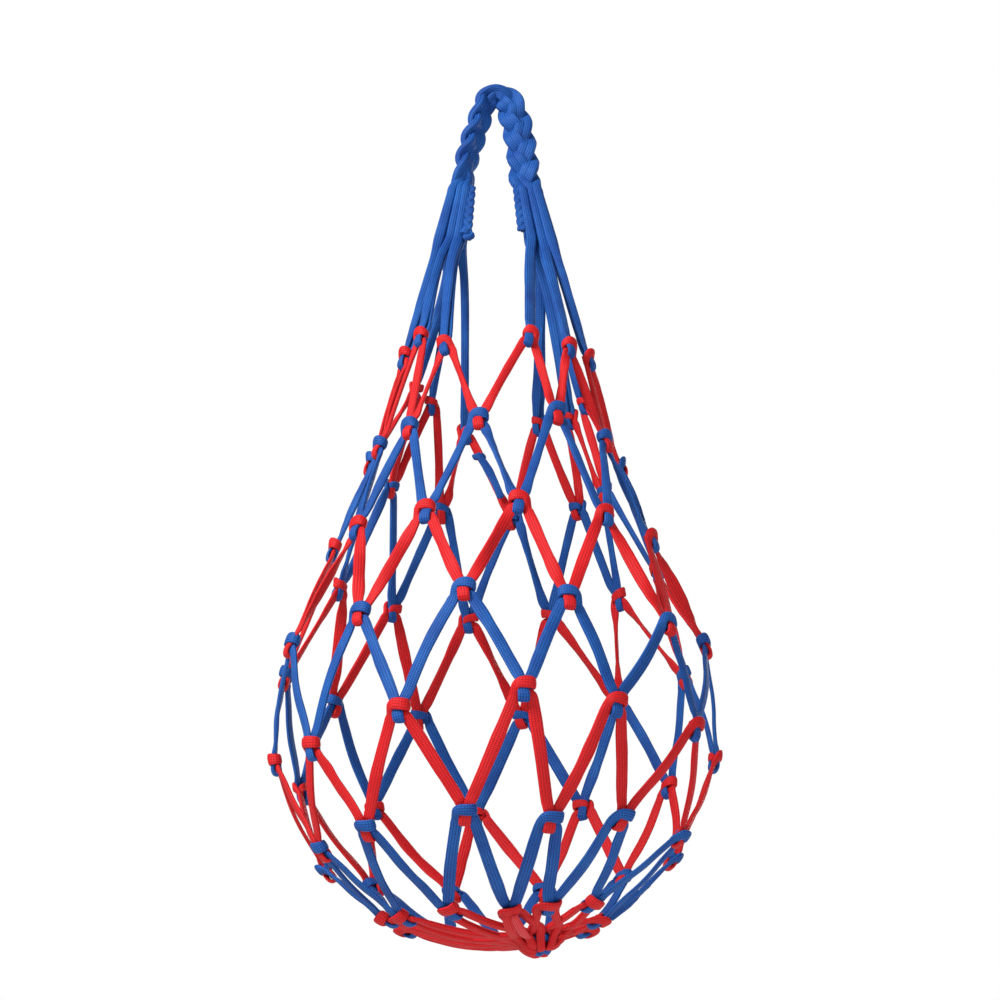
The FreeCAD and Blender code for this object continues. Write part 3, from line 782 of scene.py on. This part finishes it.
def draw_ring(chance):
    """The blue cord that draws the gather together."""
    middle = BALL_MIDDLE + BASE_AXIS * (BALL_RADIUS + 4.2)
    first = unit(np.cross(BASE_AXIS, vec(0, 1, 0)))
    second = np.cross(BASE_AXIS, first)
    stops = []
    for step in range(16):
        angle = 2 * math.pi * step / 16
        radius = 7.2 + chance.uniform(-0.4, 0.4)
        outward = first * math.cos(angle) + second * math.sin(angle)
        stops.append(stop(middle + outward * radius, outward, 4.2, 3.4))
    return ribbon(stops, closed=True)


# ---------------------------------------------------------------- materials

class Nodes:
    """Short calls for building a material's node tree."""

    def __init__(self, name):
        self.material = bpy.data.materials.new(name)
        self.material.use_nodes = True
        self.tree = self.material.node_tree
        self.shader = self.tree.nodes["Principled BSDF"]

    def add(self, kind, **settings):
        node = self.tree.nodes.new(kind)
        for name, value in settings.items():
            setattr(node, name, value)
        return node

    def link(self, source, target):
        self.tree.links.new(source, target)

    def feed(self, target, value):
        if isinstance(value, bpy.types.NodeSocket):
            self.link(value, target)
        else:
            target.default_value = value

    def maths(self, operation, *values):
        node = self.add("ShaderNodeMath", operation=operation)
        for target, value in zip(node.inputs, values):
            self.feed(target, value)
        return node.outputs[0]

    def blend(self, share, first, second):
        node = self.add("ShaderNodeMix", data_type="RGBA")
        self.feed(node.inputs["Factor"], share)
        self.feed(node.inputs["A"], first)
        self.feed(node.inputs["B"], second)
        return node.outputs["Result"]

    def noise(self, scale, detail):
        place = self.add("ShaderNodeTexCoord").outputs["Object"]
        node = self.add("ShaderNodeTexNoise")
        self.link(place, node.inputs["Vector"])
        node.inputs["Scale"].default_value = scale
        node.inputs["Detail"].default_value = detail
        return node.outputs["Fac"]


def linear(red, green, blue):
    """An sRGB colour, 0 to 255, as the linear values that a shader takes."""
    def one(value):
        value /= 255
        return value / 12.92 if value <= 0.04045 else ((value + 0.055) / 1.055) ** 2.4
    return one(red), one(green), one(blue), 1.0


def knitted(name, deep, body, bright):
    """Knitted polyester cord: ribs of V-shaped stitches along it, with painted shade that darkens the colour
    between them, and soft sheen.
    """
    make = Nodes(name)
    place = make.add("ShaderNodeUVMap", uv_map="cord")
    split = make.add("ShaderNodeSeparateXYZ")
    make.link(place.outputs["UV"], split.inputs[0])
    along, around = split.outputs["X"], split.outputs["Y"]

    in_rib = make.maths("SUBTRACT", make.maths("FRACT", make.maths("MULTIPLY", around, float(RIBS))), 0.5)
    off_middle = make.maths("MULTIPLY", make.maths("ABSOLUTE", in_rib), 2.0)
    slanted = make.maths("ADD", along, make.maths("MULTIPLY", off_middle, 0.55))
    wave = make.maths("SINE", make.maths("MULTIPLY", slanted, 2 * math.pi))
    yarn = make.maths("MULTIPLY_ADD", wave, 0.5, 0.5)
    rib = make.maths("SUBTRACT", 1.0, make.maths("POWER", off_middle, 3.0))
    height = make.maths("MULTIPLY", make.maths("MULTIPLY_ADD", yarn, 0.65, 0.35), rib)

    patches = make.noise(60.0, 3.0)
    fibres = make.noise(1800.0, 2.0)
    body_colour = make.blend(make.maths("MULTIPLY_ADD", patches, 1.6, -0.3), body, bright)
    # painted shade: the colour runs from deep, the painted shade colour, in the valleys between the stitches
    # to the body colour on their tops, and fine fibre noise adds random tone
    stitch_shade_and_fibres = make.maths("MULTIPLY_ADD", height, 0.95, make.maths("MULTIPLY", fibres, 0.25))
    make.link(make.blend(stitch_shade_and_fibres, deep, body_colour), make.shader.inputs["Base Color"])
    rough = make.maths("MULTIPLY_ADD", height, -0.16, 0.66)
    make.link(rough, make.shader.inputs["Roughness"])

    bump = make.add("ShaderNodeBump")
    bump.inputs["Strength"].default_value = 0.75
    bump.inputs["Distance"].default_value = 0.0003
    make.link(make.maths("MULTIPLY_ADD", fibres, 0.12, height), bump.inputs["Height"])
    make.link(bump.outputs["Normal"], make.shader.inputs["Normal"])
    make.shader.inputs["Sheen Weight"].default_value = 0.02
    make.shader.inputs["Sheen Roughness"].default_value = 0.45
    make.shader.inputs["Specular IOR Level"].default_value = 0.25
    return make.material


# each knit's colours: deep is painted shade for the valleys between stitches, body is the cord's own colour,
# bright is the colour of its random lighter patches
BLUE = knitted("blue_knit", linear(2, 26, 86), linear(6, 68, 152), linear(30, 108, 192))
RED = knitted("red_knit", linear(140, 2, 6), linear(212, 7, 14), linear(232, 28, 36))
PALE_RED = knitted("red_knit_end", linear(150, 12, 18), linear(224, 36, 46), linear(238, 74, 82))


# ---------------------------------------------------------------- the pieces

def finish_piece(thing, body, nodes):
    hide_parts(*nodes)
    if body:
        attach(thing, body)
    return thing


def build_net():
    for row, cord in enumerate(ROW_CORDS):
        chance = random.Random(100 + row)
        slot, material = ("red_cord", RED) if cord.startswith("red") else ("blue_cord", BLUE)
        thing = piece(f"net_{cord}", [ribbon(row_cord(row, chance), closed=True)], material)
        finish_piece(thing, "net", [f"{cord}_knots", f"{cord}_legs", f"{cord}_bights"])


def build_hangers():
    for side, columns in SIDES.items():
        ordered = sorted(columns, key=lambda column: ROWS[0][column][1])
        for place, column in enumerate(ordered, start=1):
            chance = random.Random(200 + column)
            thing = piece(f"hanger_cord_{side}_{place}", [ribbon(hanger(side, column, chance))], BLUE)
            nodes = [f"hanger_{side}_{place}", "hanger_bights", f"gather_{side}"]
            finish_piece(thing, None, nodes)
            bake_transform(thing)


def build_grip():
    for strand in range(3):
        thing = piece(f"grip_strand_{strand + 1}", plait_strand(strand), BLUE)
        nodes = [f"plait_strand_{strand + 1}", "plait_root_left", "plait_root_right"]
        finish_piece(thing, None, nodes)
        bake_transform(thing)


def build_ties():
    knot = box_middle("tie_knot")
    for side in SIDES:
        top, foot = level_middle(f"tie_tail_{side}", "top"), level_middle(f"tie_tail_{side}", "bottom")
        if side == "left":
            foot = knot + vec(0, 0, 2)
        inwards = -1.8 if side == "left" else 0.8
        ribbons = thin_plait(top + vec(inwards, -1.5, 5), foot, 17.0, 1.2, (3.5, 2.6), 0.6)
        thing = piece(f"tie_plait_{side}", ribbons, BLUE)
        finish_piece(thing, "gathers", [f"tie_tail_{side}"])
    lump = [overhand(knot, unit(vec(0.5, -0.6, 0.7)), 3.6, 0.34, (3.9, 3.1), 0.4)]
    finish_piece(piece("tie_overhand", lump, BLUE), "gathers", ["tie_knot"])


# each red cut end: how far aside it starts, how far it spreads, its lift, its sections and its material
RED_ENDS = (
    (
        -2.8, 0.2, 0.0,
        ((4.6, 2.6), (6.4, 2.4), (6.6, 2.2), (6.2, 2.0), (5.4, 1.8), (4.4, 1.6), (2.6, 1.3)), RED,
    ),
    (
        1.2, 3.6, 1.3,
        ((4.2, 2.6), (4.8, 2.4), (5.0, 2.2), (5.0, 2.0), (4.6, 1.8), (4.0, 1.6), (2.6, 1.3)), PALE_RED,
    ),
)
BLUE_END_INWARDS = 2.4


def build_base():
    ring = piece("draw_cord_ring", [draw_ring(random.Random(31))], BLUE)
    finish_piece(ring, "net", ["base_draw_cord"])
    middle = BALL_MIDDLE + BASE_AXIS * (BALL_RADIUS + 8.5)
    knot = piece("draw_cord_knot", [overhand(middle, BASE_AXIS, 4.2, 0.36, (3.6, 3.0), 1.1)], BLUE)
    finish_piece(knot, "net", ["base_knot"])
    for number, (aside, spread, lift, taper, material) in enumerate(RED_ENDS, start=1):
        thing = piece(f"red_end_{number}", [tongue(aside, spread, lift, taper)], material)
        finish_piece(thing, "net", [f"red_tail_{number}"])
    stub = ((5.4, 2.4), (6.2, 2.2), (6.4, 2.0), (6.4, 1.9), (6.2, 1.8), (6.2, 1.8))
    inwards = unit(BALL_MIDDLE - box_middle("blue_tail_1")) * BLUE_END_INWARDS
    end, _, _ = cut_end("blue_tail_1", 4.0, stub, 0.5, inwards, vec(-2, 2, 0), 1.0)
    finish_piece(piece("blue_end_1", [end], BLUE), "net", ["blue_tail_1"])
    stub = ((3.4, 2.4), (4.8, 2.0), (5.4, 1.8), (4.6, 1.7), (4.4, 1.7), (4.6, 1.6))
    end, start, along = cut_end("blue_tail_2", 2.0, stub, -0.8, vec(-1, 0, 0), vec(-0.8, 0, 0), 0)
    turn = wrap(start[:3] + vec(0.2, 2.6, 0), along, 2.9, (3.6, 1.8))
    finish_piece(piece("blue_end_2", [end, turn], BLUE), "net", ["blue_tail_2"])


build_grip()
build_ties()
build_hangers()
build_net()
build_base()


# ---------------------------------------------------------------- camera, light and floor

AMBIENT = 0.3


def area_light(name, spot, aim, size, power, colour=(1, 1, 1)):
    lamp = bpy.data.lights.new(name, "AREA")
    lamp.size = size
    lamp.energy = power
    lamp.color = colour
    thing = bpy.data.objects.new(name, lamp)
    thing.location = spot
    towards = np.array(aim) - np.array(spot)
    thing.rotation_euler = look_angles(towards)
    bpy.context.scene.collection.objects.link(thing)


def look_angles(towards):
    """Euler angles that point an object's -Z along a direction, with its X level."""
    flat = math.hypot(towards[0], towards[1])
    return math.pi / 2 + math.atan2(towards[2], flat), 0, math.atan2(-towards[0], towards[1])


def camera():
    """Where the photograph was taken from: a metre and a half in front, looking up."""
    lens = bpy.data.cameras.new("camera")
    lens.sensor_width = 36
    lens.lens = 102.2
    thing = bpy.data.objects.new("camera", lens)
    thing.location = (0.0109, -1.5, -0.9361)
    thing.rotation_euler = (math.radians(90 + 24.13), 0, 0.0056)
    bpy.context.scene.collection.objects.link(thing)
    bpy.context.scene.camera = thing


def floor():
    mesh = bpy.data.meshes.new("floor")
    reach, low = 6.0, -1.35
    corners = [(-reach, -reach, low), (reach, -reach, low), (reach, reach, low), (-reach, reach, low)]
    mesh.from_pydata(corners, [], [(0, 1, 2, 3)])
    make = Nodes("floor_paint")
    make.shader.inputs["Base Color"].default_value = (0.86, 0.86, 0.86, 1)
    make.shader.inputs["Roughness"].default_value = 0.8
    make.shader.inputs["Emission Color"].default_value = (1, 1, 1, 1)
    make.shader.inputs["Emission Strength"].default_value = 0.22
    mesh.materials.append(make.material)
    thing = bpy.data.objects.new("floor", mesh)
    bpy.context.scene.collection.objects.link(thing)


def world():
    """A white studio: it shows white behind the bag, and lights it less than the lamps do."""
    studio = bpy.data.worlds.new("studio")
    studio.use_nodes = True
    tree = studio.node_tree
    background = tree.nodes["Background"]
    background.inputs["Color"].default_value = (1, 1, 1, 1)
    ray = tree.nodes.new("ShaderNodeLightPath")
    level = tree.nodes.new("ShaderNodeMapRange")
    level.inputs["To Min"].default_value = AMBIENT
    level.inputs["To Max"].default_value = 1.0
    tree.links.new(ray.outputs["Is Camera Ray"], level.inputs["Value"])
    tree.links.new(level.outputs["Result"], background.inputs["Strength"])
    bpy.context.scene.world = studio


camera()
floor()
world()
area_light("key", (-1.1, -1.2, 0.6), (0, 0, -0.3), 0.6, 50)
area_light("fill", (1.4, -1.2, -0.5), (0, 0, -0.35), 1.2, 8)
area_light("back", (0.8, 1.7, 0.4), (0, 0, -0.3), 1.0, 9)
bpy.context.scene.view_settings.view_transform = "Standard"
